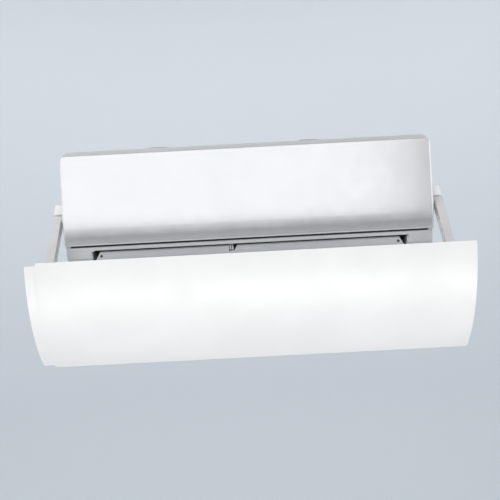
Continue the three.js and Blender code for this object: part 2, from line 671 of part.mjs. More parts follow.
function deflectorPanel() {
  const { left, right, sheet, top, bottom } = deflector;
  const inner = bow.radius - sheet;
  const outerArc = sheetArc(bow.radius, top, bottom, 20);
  const skin = [...outerArc, ...sheetArc(inner, top, bottom + 1.7, 20).reverse()];
  const rail = [
    [-301, top - 0.2], [-288, top - 0.2], [-288, -122.8], [-293.4, -122.8],
    [-293.4, -128], [-295.6, -128], [-295.6, -122.8], [-301, -122.8],
  ];
  const endAngle = arcAngle(inner, bottom + 1.7);
  const hem = [
    ...arc(bow.y, bow.z, inner + 1, endAngle, endAngle - 0.4, 1),
    ...arc(bow.y, bow.z, 300.8, endAngle - 0.4, endAngle - 1.6, 2),
    ...arc(bow.y, bow.z, 298.8, endAngle - 1.6, endAngle, 2),
  ];
  const whole = join([skin, rail, hem].map((outline) => slabX(outline, [left, right])));
  const trim = slabY(
    [
      [left, top], [right - 3, top], [right, top - 3], [right, bottom + 2],
      [right - 2, bottom - 1], [left + 6, bottom - 1], [left, bottom + 6],
    ],
    [-320, -100],
  );
  return whole.intersect(trim);
}
piece('deflector_panel', deflectorPanel(), deflectorWhite);

// Sheet that slides out of the deflector's end as far as reach, with a turned-in lip along its outer edge.
function extension(reach) {
  const face = 304.4; // radius of the outer face, which runs just inside the deflector's skin
  const skin = [...sheetArc(face, -123.6, -360.6, 18), ...sheetArc(302, -123.6, -359.4, 18).reverse()];
  const lip = [...sheetArc(face, -129, -358, 16), ...sheetArc(297, -129, -352, 16).reverse()];
  return join(slabX(skin, [reach - extensionLength, reach]), slabX(lip, [reach - 2.6, reach]));
}
piece('extension_right', extension(deflector.right - 0.6), deflectorWhite);
piece('extension_left', mirrored(extension(extensionDrawn - deflector.left)), deflectorWhite);

// Everything that carries the deflector on one side; the left side is its mirror image.
function sideBracket() {
  const { y, z } = armPivot;
  const footOutline = [
    [32, -30], [32, 26], [24, 35.5], [-9, 35.5], [-15, 28], [-15, -24], [-6, -38], [20, -38],
  ].map(([a, b]) => [y + a, z + b]);
  const foot = slabX(footOutline, [429.8, 435.5]);
  const boss = rodX([435, 438.6], y, z, arm.half, 24);
  const hood = slabY(
    [[435, z + 13.5], [455.5, z + 13.5], [450.5, z + 34], [448.5, z + 35.5], [435, z + 35.5]],
    [y - 14, y + 20],
  );
  return cut(join(foot, boss, hood), rodX([432.4, 440], y, z, 4.3, 14));
}
const adhesivePad = () =>
  box([428.2, 429.5], [armPivot.y - 12, armPivot.y + 30], [armPivot.z - 19, armPivot.z + 33]);

// Bar from the bracket's pivot to the deflector's pivot, round at both ends.
function deflectorArm() {
  const dy = tiltPivot.y - armPivot.y;
  const dz = tiltPivot.z - armPivot.z;
  const length = Math.hypot(dy, dz);
  const slope = Math.atan2(dz, dy) / radians;
  const bar = slabX(
    [...arc(0, 0, arm.half, 90, 270, 8), ...arc(length, 0, arm.half, -90, 90, 8)],
    [arm.inner, arm.outer],
  );
  const hollow = box([arm.inner - 1, arm.inner + 6], [22, length - 22], [-7, 7]);
  const bores = [0, length].map((y) => rodX([arm.inner - 2, arm.outer + 2], y, 0, 4.4, 14));
  return cut(bar, hollow, bores).rotate([slope, 0, 0]).translate([0, armPivot.y, armPivot.z]);
}
const pivotBolt = ({ y, z }, tip, face, headRadius) =>
  join(rodX([face, face + 2], y, z, headRadius, 20), rodX([tip, face + 0.2], y, z, 4, 14));

// Fork on the deflector's top rail that holds the arm's lower end.
function tiltBracket() {
  const { y, z } = tiltPivot;
  const base = box([433.5, 463.5], [-287.6, y - 13.4], [-137, -119]);
  const ear = [[-287.6, -119], [-287.6, -137], ...arc(y, z, 10, -110, 90, 12)];
  const ears = [[433.5, 438.6], [458.4, 463.5]].map((x) => slabX(ear, x));
  return cut(join(base, ears), rodX([434.6, 470], y, z, 4.3, 14));
}

const carrier = {
  side_bracket: [sideBracket, deflectorWhite],
  adhesive_pad: [adhesivePad, foamTape],
  deflector_arm: [deflectorArm, deflectorWhite],
  arm_bolt: [() => pivotBolt(armPivot, 433, 458.4, 9.5), deflectorWhite],
  tilt_bracket: [tiltBracket, deflectorWhite],
  tilt_bolt: [() => pivotBolt(tiltPivot, 435, 463.9, 8.5), deflectorWhite],
};
for (const [name, [make, material]] of Object.entries(carrier)) {
  const made = make();
  piece(`${name}_right`, made, material);
  piece(`${name}_left`, mirrored(made), material);
}

export default airConditioner;
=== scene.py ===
"""Looks of a wall-mounted split air conditioner with an air deflector, around its CAD frame."""

import math

import bmesh
import bpy
from mathutils import Matrix, Vector
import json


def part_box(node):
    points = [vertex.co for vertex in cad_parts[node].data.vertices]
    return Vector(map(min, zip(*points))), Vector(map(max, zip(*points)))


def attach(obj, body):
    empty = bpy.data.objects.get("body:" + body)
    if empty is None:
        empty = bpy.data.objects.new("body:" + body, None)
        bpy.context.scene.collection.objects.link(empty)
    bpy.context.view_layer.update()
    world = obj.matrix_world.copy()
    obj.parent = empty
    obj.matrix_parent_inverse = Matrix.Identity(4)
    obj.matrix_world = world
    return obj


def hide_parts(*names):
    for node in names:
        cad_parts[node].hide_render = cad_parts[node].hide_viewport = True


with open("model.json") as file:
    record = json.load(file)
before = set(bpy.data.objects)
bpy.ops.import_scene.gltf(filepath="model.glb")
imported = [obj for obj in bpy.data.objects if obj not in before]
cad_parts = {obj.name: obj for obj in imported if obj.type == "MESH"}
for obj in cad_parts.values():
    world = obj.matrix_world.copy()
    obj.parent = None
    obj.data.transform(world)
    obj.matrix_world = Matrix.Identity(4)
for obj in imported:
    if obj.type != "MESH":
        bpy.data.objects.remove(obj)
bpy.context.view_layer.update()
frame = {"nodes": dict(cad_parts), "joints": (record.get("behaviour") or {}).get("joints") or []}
NODES = frame["nodes"]
MM = 0.001
SIDES = ("left", "right")

# Shapes that the frame's boxes don't give, in millimetres.
FASCIA_BOW_RADIUS = 325  # section radius of the fascia's lower part
FASCIA_BOW_START = -5  # height below which it curves back
FASCIA_SHEET = 3
RIM = 3.2  # width of the fascia's satin rim
DEFLECTOR_ARC = {"radius": 308, "y": 5, "z": -110}  # outer face of the deflector in section
DEFLECTOR_SHEET = 3
EXTENSION_FACE = 304.4  # arc radius of the extensions' outer face
EXTENSION_SHEET = 2.4
EXTENSION_TOP, EXTENSION_BOTTOM = -123.6, -360.6
COIL_SLABS = {  # foot (y, z), lean back from vertical in degrees, length, tube rows
    "evaporator_front": ((-165, -66), 0, 96, 4),
    "evaporator_top": ((-160, 37), 36, 84, 4),
    "evaporator_rear": ((-38, 56), -40, 72, 3),
}
COIL_DEPTH = 22
COIL_TUBE_RADIUS = 3.2
COIL_PLATE_SHEET = 1.5
COIL_PLATE_HALF_WIDTH = 12.2
COIL_PLATE_SPINE = ((-165, -68), (-165, 32), (-114, 104), (-86, 111), (-38, 53))  # (y, z)
FIN_PITCH = 2.6
FIN_THICKNESS = 0.3
BLOWER_BLADES = 35
BLOWER_SPANS = 8  # lengths of blading between the wheel's rings
BLOWER_LEFT = -358
BLADE_LEAN = -28  # degrees
FILTER_GRIP_RISE = 8  # how far a filter's grip stands above its frame

# Modifier settings. In metres, the wider weld opens edges in the CAD's rear casing, and the finer
# one breaks the extension sheets.
CAD_WELD, PIECE_WELD = 1e-6, 1e-5
FLAT_ANGLE = math.radians(0.5)  # faces closer in angle than this are merged
BEVEL_ANGLE = math.radians(32)
SMOOTH_ANGLE = math.radians(35)


# ---------------------------------------------------------------- shape helpers
def box_mm(node):
    """Lowest and highest corner of a CAD node in millimetres."""
    low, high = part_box(node)
    return low / MM, high / MM


def arc(cx, cy, radius, start, end, steps):
    """Points of a circular arc. Angles are in degrees."""
    angles = [math.radians(start + (end - start) * i / steps) for i in range(steps + 1)]
    return [(cx + radius * math.cos(a), cy + radius * math.sin(a)) for a in angles]


def rounded_rectangle(x0, x1, y0, y1, upper, lower=None, steps=10):
    """Outline of a rectangle whose upper and lower corners have separate radii."""
    lower = upper if lower is None else lower
    return [
        *arc(x1 - upper, y1 - upper, upper, 0, 90, steps),
        *arc(x0 + upper, y1 - upper, upper, 90, 180, steps),
        *arc(x0 + lower, y0 + lower, lower, 180, 270, steps),
        *arc(x1 - lower, y0 + lower, lower, 270, 360, steps),
    ]


PLACE = {
    "X": lambda a, b, t: (t, a, b),
    "Y": lambda a, b, t: (a, t, b),
    "Z": lambda a, b, t: (a, b, t),
}


def mesh_from(bm):
    """Closes a bmesh into a mesh whose faces point out."""
    bmesh.ops.recalc_face_normals(bm, faces=bm.faces)
    mesh = bpy.data.meshes.new("solid")
    bm.to_mesh(mesh)
    bm.free()
    return mesh


def prism(outline, span, axis="X"):
    """An outline swept along an axis: X takes (y, z) points, Y takes (x, z) and Z takes (x, y)."""
    bm = bmesh.new()
    rings = [[bm.verts.new(Vector(PLACE[axis](a, b, t)) * MM) for a, b in outline] for t in span]
    for ring in rings:
        bm.faces.new(ring)
    count = len(outline)
    for i in range(count):
        j = (i + 1) % count
        bm.faces.new((rings[0][i], rings[0][j], rings[1][j], rings[1][i]))
    return mesh_from(bm)


def block(x, y, z):
    """A box between two limits along each axis."""
    return prism([(y[0], z[0]), (y[1], z[0]), (y[1], z[1]), (y[0], z[1])], x)


def revolved(profile, y, z, steps=40):
    """A profile of (x, radius) points turned about the line through (y, z) along X.

    The profile starts and ends at radius 0.
    """
    bm = bmesh.new()
    rings = []
    for x, radius in profile:
        if radius == 0:
            rings.append([bm.verts.new(Vector((x, y, z)) * MM)])
            continue
        ring = arc(y, z, radius, 0, 360 - 360 / steps, steps - 1)
        rings.append([bm.verts.new(Vector((x, a, b)) * MM) for a, b in ring])
    for one, two in zip(rings, rings[1:]):
        for i in range(steps):
            corners = [
                one[i % len(one)], one[(i + 1) % len(one)],
                two[(i + 1) % len(two)], two[i % len(two)],
            ]
            bm.faces.new(list(dict.fromkeys(corners)))
    return mesh_from(bm)


def rod(x, y, z, radius, steps=24):
    """A cylinder along X."""
    return revolved([(x[0], 0), (x[0], radius), (x[1], radius), (x[1], 0)], y, z, steps)


def curve_through(points, steps):
    """Even steps along a centripetal Catmull-Rom curve through the points."""
    ends = [2 * points[0] - points[1], *points, 2 * points[-1] - points[-2]]
    path = []
    for p0, p1, p2, p3 in zip(ends, ends[1:], ends[2:], ends[3:]):
        knots = [0.0]
        for a, b in ((p0, p1), (p1, p2), (p2, p3)):
            knots.append(knots[-1] + math.sqrt((b - a).length))
        for i in range(steps):
            t = knots[1] + (knots[2] - knots[1]) * i / steps
            level = [p0, p1, p2, p3]
            for order in (1, 2, 3):
                low = [knots[k] if order < 3 else knots[1] for k in range(4 - order)]
                high = [knots[k + order] if order < 3 else knots[2] for k in range(4 - order)]
                level = [
                    level[k].lerp(level[k + 1], (t - low[k]) / (high[k] - low[k]))
                    for k in range(4 - order)
                ]
            path.append(level[0])
    path.append(points[-1])
    return path


def tube(path, radius, sides=16):
    """A round bar along a path of points in millimetres."""
    bm = bmesh.new()
    side = Vector((0, 0, 1))
    rings = []
    for i, point in enumerate(path):
        along = (path[min(i + 1, len(path) - 1)] - path[max(i - 1, 0)]).normalized()
        side = (side - along * side.dot(along)).normalized()
        other = along.cross(side)
        ring = []
        for k in range(sides):
            turn = math.tau * k / sides
            spoke = radius * (math.cos(turn) * side + math.sin(turn) * other)
            ring.append(bm.verts.new((point + spoke) * MM))
        rings.append(ring)
    for one, two in zip(rings, rings[1:]):
        for k in range(sides):
            bm.faces.new((one[k], one[(k + 1) % sides], two[(k + 1) % sides], two[k]))
    bm.faces.new(rings[0])
    bm.faces.new(rings[-1])
    return mesh_from(bm)


def gathered(meshes):
    """Several closed meshes as one."""
    bm = bmesh.new()
    for mesh in meshes:
        bm.from_mesh(mesh)
        bpy.data.meshes.remove(mesh)
    whole = bpy.data.meshes.new("solid")
    bm.to_mesh(whole)
    bm.free()
    return whole


def moved(mesh, matrix):
    mesh.transform(matrix)
    if matrix.determinant() < 0:
        mesh.flip_normals()
    return mesh


def mirrored(mesh):
    return moved(mesh, Matrix.Scale(-1, 4, (1, 0, 0)))


def boolean(base, operation, tools):
    """The base mesh with each tool joined to it, cut from it or kept in common with it."""
    things = [bpy.data.objects.new("solid", mesh) for mesh in (base, *tools)]
    for thing in things:
        bpy.context.scene.collection.objects.link(thing)
    for thing in things[1:]:
        modifier = things[0].modifiers.new("boolean", "BOOLEAN")
        modifier.object = thing
        modifier.operation = operation
        modifier.solver = "MANIFOLD"
    depsgraph = bpy.context.evaluated_depsgraph_get()
    made = bpy.data.meshes.new_from_object(things[0].evaluated_get(depsgraph))
    for thing in things:
        bpy.data.objects.remove(thing)
    return made


def union(base, *tools):
    return boolean(base, "UNION", tools)


def cut(base, *tools):
    return boolean(base, "DIFFERENCE", tools)


def common(base, tool):
    return boolean(base, "INTERSECT", (tool,))


def soften(thing, width, segments, merge=PIECE_WELD, holed=False):
    """Rounds a piece's edges by modifiers. Flat faces are merged first, so only real edges round.

    A holed piece has flat faces with many holes. They are cut into triangles before rounding.
    """
    weld = thing.modifiers.new("weld", "WELD")
    weld.merge_threshold = merge
    flat = thing.modifiers.new("flat", "DECIMATE")
    flat.decimate_type = "DISSOLVE"
    flat.angle_limit = FLAT_ANGLE
    if holed:
        thing.modifiers.new("triangles", "TRIANGULATE").ngon_method = "BEAUTY"
    bevel = thing.modifiers.new("bevel", "BEVEL")
    bevel.width = width * MM
    bevel.segments = segments
    bevel.limit_method = "ANGLE"
    bevel.angle_limit = BEVEL_ANGLE
    bevel.miter_outer = "MITER_ARC"
    bevel.use_clamp_overlap = not holed
    normals = thing.modifiers.new("normals", "WEIGHTED_NORMAL")
    normals.keep_sharp = True
    thing.data.shade_smooth()


def piece(name, mesh, body, material, replaces=(), bevel=0.5, segments=2):
    """A new piece that rides on a body, takes a material and may stand for CAD nodes."""
    thing = bpy.data.objects.new(name, mesh)
    bpy.context.scene.collection.objects.link(thing)
    mesh.name = name
    mesh.materials.clear()
    mesh.materials.append(material)
    if bevel:
        soften(thing, bevel, segments)
    else:
        mesh.shade_smooth()
        mesh.set_sharp_from_angle(angle=SMOOTH_ANGLE)
    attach(thing, body)
    if replaces:
        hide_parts(*replaces)
    return thing


# ---------------------------------------------------------------- materials
class Nodes:
    """A material's node tree, with its shader, its coordinates and short ways to add nodes."""

    def __init__(self, name, color, roughness, metallic=0.0):
        self.material = bpy.data.materials.new(name)
        self.material.use_nodes = True
        self.tree = self.material.node_tree
        self.shader = self.tree.nodes["Principled BSDF"]
        self.shader.inputs["Base Color"].default_value = (*color, 1)
        self.shader.inputs["Roughness"].default_value = roughness
        self.shader.inputs["Metallic"].default_value = metallic
        self.place = self.add("ShaderNodeTexCoord").outputs["Object"]

    def add(self, kind, **settings):
        node = self.tree.nodes.new(kind)
        for key, value in settings.items():
            setattr(node, key, value)
        return node

    def link(self, output, socket):
        self.tree.links.new(output, socket)

    def stretched(self, scale):
        """Coordinates scaled separately along X, Y and Z."""
        mapping = self.add("ShaderNodeMapping")
        mapping.inputs["Scale"].default_value = scale
        self.link(self.place, mapping.inputs["Vector"])
        return mapping.outputs["Vector"]

    def noise(self, scale, detail=3.0, vector=None):
        node = self.add("ShaderNodeTexNoise")
        node.inputs["Scale"].default_value = scale
        node.inputs["Detail"].default_value = detail
        self.link(vector or self.place, node.inputs["Vector"])
        return node.outputs["Fac"]

    def ramp(self, factor, stops):
        """A colour ramp of (position, (r, g, b)) stops."""
        node = self.add("ShaderNodeValToRGB")
        elements = node.color_ramp.elements
        while len(elements) < len(stops):
            elements.new(1.0)
        for element, (position, color) in zip(elements, stops):
            element.position = position
            element.color = (*color, 1)
        self.link(factor, node.inputs["Fac"])
        return node.outputs["Color"]

    def spread(self, factor, low, high):
        """A 0 to 1 factor brought between two values."""
        node = self.add("ShaderNodeMapRange")
        node.inputs["From Min"].default_value = 0.3
        node.inputs["From Max"].default_value = 0.7
        node.inputs["To Min"].default_value = low
        node.inputs["To Max"].default_value = high
        self.link(factor, node.inputs["Value"])
        return node.outputs["Result"]

    def bump(self, height, depth):
        """Relief of the given depth in millimetres."""
        node = self.add("ShaderNodeBump")
        node.inputs["Distance"].default_value = depth * MM
        self.link(height, node.inputs["Height"])
        self.link(node.outputs["Normal"], self.shader.inputs["Normal"])


def tinted(color, amount):
    return tuple(min(1.0, c * amount) for c in color)


def moulded(name, color, roughness, grain=0.02, grain_scale=900, coat=0.0):
    """Moulded plastic: faint cloudiness, uneven gloss and the fine grain of the tool."""
    nodes = Nodes(name, color, roughness)
    clouds = nodes.noise(7, 4)
    stops = [(0.35, tinted(color, 0.97)), (0.65, tinted(color, 1.01))]
    nodes.link(nodes.ramp(clouds, stops), nodes.shader.inputs["Base Color"])
    handling = nodes.noise(22, 5)
    uneven = nodes.spread(handling, roughness * 0.85, roughness * 1.2)
    nodes.link(uneven, nodes.shader.inputs["Roughness"])
    nodes.bump(nodes.noise(grain_scale, 2), grain)
    nodes.shader.inputs["Coat Weight"].default_value = coat
    nodes.shader.inputs["Coat Roughness"].default_value = 0.06
    return nodes.material


def metal(name, color, roughness, stretch=(1, 1, 1), relief=0.004):
    """Metal with drawn or rolled streaks along the axis that is stretched least."""
    nodes = Nodes(name, color, roughness, 1.0)
    streaks = nodes.noise(60, 6, nodes.stretched(stretch))
    stops = [(0.3, tinted(color, 0.82)), (0.7, tinted(color, 1.08))]
    nodes.link(nodes.ramp(streaks, stops), nodes.shader.inputs["Base Color"])
    uneven = nodes.spread(streaks, roughness * 0.8, roughness * 1.35)
    nodes.link(uneven, nodes.shader.inputs["Roughness"])
    nodes.bump(streaks, relief)
    return nodes.material


def galvanised(name):
    """Zinc-coated sheet: flat crystals of slightly different greys."""
    base = (0.56, 0.58, 0.60)
    nodes = Nodes(name, base, 0.38, 1.0)
    crystals = nodes.add("ShaderNodeTexVoronoi")
    crystals.inputs["Scale"].default_value = 95
    crystals.inputs["Randomness"].default_value = 1.0
    nodes.link(nodes.place, crystals.inputs["Vector"])
    grey = nodes.add("ShaderNodeSeparateColor")
    nodes.link(crystals.outputs["Color"], grey.inputs["Color"])
    stops = [(0.0, tinted(base, 0.78)), (0.5, base), (1.0, tinted(base, 1.2))]
    nodes.link(nodes.ramp(grey.outputs["Red"], stops), nodes.shader.inputs["Base Color"])
    nodes.link(nodes.spread(grey.outputs["Green"], 0.3, 0.5), nodes.shader.inputs["Roughness"])
    nodes.bump(nodes.noise(400, 3), 0.01)
    return nodes.material


def pearl_gloss(name):
    """The fascia's glossy finish: white with a faint metallic depth under a hard clear coat."""
    color = (0.86, 0.87, 0.885)
    nodes = Nodes(name, color, 0.22, 0.8)
    clouds = nodes.noise(5, 3)
    stops = [(0.35, tinted(color, 0.975)), (0.65, tinted(color, 1.01))]
    nodes.link(nodes.ramp(clouds, stops), nodes.shader.inputs["Base Color"])
    nodes.link(nodes.spread(nodes.noise(30, 4), 0.19, 0.25), nodes.shader.inputs["Roughness"])
    nodes.bump(nodes.noise(160, 2), 0.004)
    nodes.shader.inputs["Coat Weight"].default_value = 1.0
    nodes.shader.inputs["Coat Roughness"].default_value = 0.05
    return nodes.material


def circuit_green(name):
    """Solder mask over copper tracks that show as paler lines."""
    board = (0.015, 0.12, 0.05)
    nodes = Nodes(name, board, 0.35)
    tracks = nodes.add("ShaderNodeTexBrick")
    tracks.inputs["Scale"].default_value = 190
    tracks.inputs["Mortar Size"].default_value = 0.09
    tracks.inputs["Color1"].default_value = (*board, 1)
    tracks.inputs["Color2"].default_value = (*tinted(board, 0.8), 1)
    tracks.inputs["Mortar"].default_value = (0.05, 0.26, 0.11, 1)
    turned = nodes.add("ShaderNodeMapping")
    turned.inputs["Rotation"].default_value = (math.radians(90), 0, 0)
    nodes.link(nodes.place, turned.inputs["Vector"])
    nodes.link(turned.outputs["Vector"], tracks.inputs["Vector"])
    nodes.link(tracks.outputs["Color"], nodes.shader.inputs["Base Color"])
    nodes.bump(tracks.outputs["Fac"], 0.03)
    return nodes.material


def foam(name, color):
    """Closed-cell foam: small round cells in relief."""
    nodes = Nodes(name, color, 0.85)
    cells = nodes.add("ShaderNodeTexVoronoi")
    cells.inputs["Scale"].default_value = 700
    nodes.link(nodes.place, cells.inputs["Vector"])
    stops = [(0.1, tinted(color, 0.82)), (0.6, color)]
    nodes.link(nodes.ramp(cells.outputs["Distance"], stops), nodes.shader.inputs["Base Color"])
    nodes.bump(cells.outputs["Distance"], 0.15)
    return nodes.material


WHITE = (0.83, 0.84, 0.85)
LOOKS = {
    "gloss_white": pearl_gloss("fascia_gloss_white"),
    "louver_white": moulded("louver_gloss_white", (0.80, 0.81, 0.83), 0.16, 0.004, 200, coat=0.6),
    "satin_white": moulded("frame_satin_white", WHITE, 0.36, 0.02),
    "casing_plastic": moulded("casing_matte_white", (0.66, 0.67, 0.68), 0.55, 0.05, 600),
    "deflector_white": moulded("deflector_satin_white", (0.86, 0.86, 0.86), 0.42, 0.01),
    "deflector_sheet": moulded("deflector_sheet_white", (0.80, 0.80, 0.795), 0.38, 0.008),
    "foam": foam("white_foam", (0.80, 0.80, 0.77)),
    # Painted shade: this near-black foam colours the strip in the groove under the fascia and
    # stands in for the groove's shadow.
    "painted_shade_foam": foam("painted_shade_foam", (0.045, 0.046, 0.05)),
    "dark_plastic": moulded("dark_plastic", (0.028, 0.029, 0.032), 0.48, 0.04, 700),
    "zinc_steel": galvanised("zinc_steel"),
    "fin_aluminium": metal("fin_aluminium", (0.80, 0.82, 0.84), 0.3, (1, 0.15, 0.15)),
    "copper": metal("copper", (0.72, 0.33, 0.18), 0.28, (0.2, 1, 1)),
    "brass": metal("brass", (0.80, 0.58, 0.24), 0.26, (1, 0.3, 0.3)),
    "rubber": moulded("rubber", (0.02, 0.02, 0.021), 0.75, 0.06, 500),
    "filter_mesh": moulded("filter_mesh", (0.10, 0.115, 0.13), 0.6, 0.02, 800),
    "filter_frame": moulded("filter_frame", (0.60, 0.62, 0.65), 0.5, 0.02, 800),
    "circuit_board": circuit_green("circuit_board"),
    "smoked_lens": moulded("smoked_lens", (0.02, 0.008, 0.012), 0.08, 0.002, 100, coat=1.0),
}


# ---------------------------------------------------------------- front fascia
def fascia_and_rim():
    """The fascia, and the satin rim along its sides and lower edge that frames its glossy face."""
    low, high = box_mm("front_panel")
    half, face, top, bottom = high.x, low.y, high.z, low.z
    inner_face = face + FASCIA_SHEET
    inner_half = half - FASCIA_SHEET
    bend_end = math.degrees(math.asin((FASCIA_BOW_START - bottom) / FASCIA_BOW_RADIUS))
    return_y = high.y - 0.6
    through = (-210, -180)  # reaches past the fascia in front and behind

    def bowed(radius):
        return arc(face + FASCIA_BOW_RADIUS, FASCIA_BOW_START, radius, 180, 180 + bend_end, 40)

    outer = [
        (-199, top), (face, top), *bowed(FASCIA_BOW_RADIUS),
        (return_y, bottom), (return_y, 110), (-199, 110),
    ]
    inner = [
        (-188, 121), (inner_face, 121), *bowed(FASCIA_BOW_RADIUS - FASCIA_SHEET),
        (-191, -90), (-188, -90),
    ]
    shell = prism(outer, (-half, half))
    hollow = prism(inner, (-half + FASCIA_SHEET, inner_half))
    outline = prism(rounded_rectangle(-half, half, bottom - 2, top, 11, 2), through, "Y")
    shut = common(cut(shell, hollow), outline)
    glossy = rounded_rectangle(-half + RIM, half - RIM, bottom + RIM, top + 5, 2, 8)
    inset = prism(glossy, through, "Y")

    ribs = [
        block((x - 0.7, x + 0.7), (inner_face - 0.5, inner_face + 4), (-2, 121.5))
        for x in range(-344, 345, 86)
    ]
    rails = [
        block((-half + 2, half - 2), (inner_face - 0.5, inner_face + 3), (z, z + 1.4))
        for z in (20, 76)
    ]
    hinge_y, hinge_z = -196, 114
    lug_outline = [
        (-202.5, 122), (-202.5, 105), (-194, 110),
        *arc(hinge_y, hinge_z, 3.6, 310, 410, 10), (-194, 118),
    ]
    lug = prism(lug_outline, (376, 379.6))
    pin = rod((378, 393), hinge_y, hinge_z, 2.4)
    latch = block((198, 212), (-195.4, -192.4), (-78, -75.5))
    fittings = [tool for made in (lug, pin, latch) for tool in (made, mirrored(made.copy()))]
    rim = cut(shut.copy(), inset.copy())
    return union(common(shut, inset), *ribs, *rails, *fittings), rim


fascia, rim = fascia_and_rim()
piece(
    "front_fascia", fascia, "front_panel", LOOKS["gloss_white"], ["front_panel"],
    bevel=0.5, segments=3,
)
piece(
    "fascia_rim", rim, "front_panel", LOOKS["satin_white"], bevel=0.9, segments=4
)


def painted_groove_shade():
    """Dark foam-textured strip at the back of the groove under the fascia: painted shade, a dark
    sheet that stands in for the groove's shadow.
    """
    bottom = box_mm("front_panel")[0].z
    return block((-418, 418), (-184.6, -182.2), (bottom - 3.6, bottom + 1.6))


# A dark strip put at the back of the groove as painted shade for the groove's shadow.
piece("painted_groove_shade", painted_groove_shade(), "unit", LOOKS["painted_shade_foam"], bevel=0.4)


# ---------------------------------------------------------------- deflector and its end extensions
def deflector_arc(radius, top, bottom, steps):
    """Section of the deflector at an arc radius, between two heights."""
    angles = [
        180 + math.degrees(math.asin((DEFLECTOR_ARC["z"] - z) / radius)) for z in (top, bottom)
    ]
    return arc(DEFLECTOR_ARC["y"], DEFLECTOR_ARC["z"], radius, *angles, steps)


def deflector_shell():
    low, high = box_mm("deflector_panel")
    left, right, top, bottom = low.x, high.x, high.z, low.z
    outer = DEFLECTOR_ARC["radius"]
    inner = outer - DEFLECTOR_SHEET
    hem_rise = 1.7  # the inner face stops this far above the outer one
    skin = deflector_arc(outer, top, bottom, 72)
    skin += deflector_arc(inner, top, bottom + hem_rise, 72)[::-1]
    rail = [
        (-301, top - 0.2), (-288, top - 0.2), (-288, -122.8), (-293.4, -122.8),
        (-293.4, -128), (-295.6, -128), (-295.6, -122.8), (-301, -122.8),
    ]
    end = 180 + math.degrees(math.asin((DEFLECTOR_ARC["z"] - bottom - hem_rise) / inner))
    centre = (DEFLECTOR_ARC["y"], DEFLECTOR_ARC["z"])
    hem = [
        *arc(*centre, inner + 1, end, end - 0.4, 1),
        *arc(*centre, 300.8, end - 0.4, end - 1.6, 4),
        *arc(*centre, 298.8, end - 1.6, end, 4),
    ]
    rib_outline = deflector_arc(inner + 0.5, -128.5, -352, 48)
    rib_outline += deflector_arc(inner - 4, -128.5, -350, 48)[::-1]
    ribs = [prism(rib_outline, (x - 0.8, x + 0.8)) for x in range(-320, 341, 110)]
    swept = [prism(outline, (left, right)) for outline in (skin, rail, hem)]
    whole = union(*swept, *ribs)
    trim = prism(
        [
            (left, top), *arc(right - 3, top - 3, 3, 90, 0, 6), (right, bottom + 2),
            (right - 2, bottom - 1), (left + 6, bottom - 1), (left, bottom + 6),
        ],
        (-320, -100),
        "Y",
    )
    return common(whole, trim)


def extension_sheet(side):
    low, high = box_mm(f"extension_{side}")
    inner = EXTENSION_FACE - EXTENSION_SHEET
    skin = deflector_arc(EXTENSION_FACE, EXTENSION_TOP, EXTENSION_BOTTOM, 60)
    skin += deflector_arc(inner, EXTENSION_TOP, EXTENSION_BOTTOM + 1.2, 60)[::-1]
    lip_top, lip_width = -129, 2.6
    lip = deflector_arc(EXTENSION_FACE - 1.2, lip_top, -358, 56)
    lip += deflector_arc(EXTENSION_FACE - 7.4, lip_top, -352, 56)[::-1]
    lip_span = (high.x - lip_width, high.x) if side == "right" else (low.x, low.x + lip_width)
    return union(prism(skin, (low.x, high.x)), prism(lip, lip_span))


DEFLECTOR_LOOK = LOOKS["deflector_white"]
SHEET_LOOK = LOOKS["deflector_sheet"]
piece(
    "deflector_shell", deflector_shell(), "deflector", SHEET_LOOK,
    ["deflector_panel"], bevel=0.9, segments=4,
)
for side in SIDES:
    piece(
        f"deflector_extension_{side}", extension_sheet(side), f"extension_{side}", SHEET_LOOK,
        [f"extension_{side}"], bevel=0.6, segments=3,
    )


# ---------------------------------------------------------------- arms and pivots
PIVOTS = {}
for joint in frame["joints"]:
    if joint["name"] in ("arm_left_swing", "deflector_tilt"):
        PIVOTS[joint["name"]] = Vector(joint["pos_m"]) / MM


def deflector_arm():
    low, high = box_mm("deflector_arm_right")
    upper, lower = PIVOTS["arm_left_swing"], PIVOTS["deflector_tilt"]
    reach = Vector((lower.y - upper.y, lower.z - upper.z))
    length, slope = reach.length, math.degrees(math.atan2(reach.y, reach.x))
    half = 12
    outline = arc(0, 0, half, 90, 270, 32) + arc(length, 0, half, -90, 90, 32)
    bar = prism(outline, (low.x, high.x))
    pocket = prism(rounded_rectangle(22, length - 22, -7, 7, 4), (low.x - 1, low.x + 3.5))
    face_outline = rounded_rectangle(24, length - 24, -5.5, 5.5, 5.4)
    face_pocket = prism(face_outline, (high.x - 0.7, high.x + 1))
    bores = [rod((low.x - 2, high.x + 2), y, 0, 4.3) for y in (0, length)]
    web = [
        block((low.x + 0.6, low.x + 4.5), (y - 0.7, y + 0.7), (-8, 8))
        for y in (length * 0.36, length * 0.64)
    ]
    made = union(cut(bar, pocket, face_pocket, *bores), *web)
    turn = Matrix.Rotation(math.radians(slope), 4, "X")
    return moved(made, Matrix.Translation(Vector((0, upper.y, upper.z)) * MM) @ turn)


def pivot_bolt(node, pivot):
    """A domed bolt head with a hexagon socket, on its shank."""
    low, high = box_mm(node)
    tip, crown = low.x, high.x
    radius = (high.z - low.z) / 2
    seat = crown - 2
    shank = 4
    profile = [
        (tip, 0), (tip, shank - 0.6), (tip + 0.6, shank), (seat, shank), (seat, radius),
        (seat + 0.7, radius), (seat + 1.5, radius * 0.93), (crown, radius * 0.72), (crown, 0),
    ]
    socket = prism(arc(pivot.y, pivot.z, 3.6, 0, 300, 5), (crown - 1.4, crown + 1))
    return cut(revolved(profile, pivot.y, pivot.z), socket)


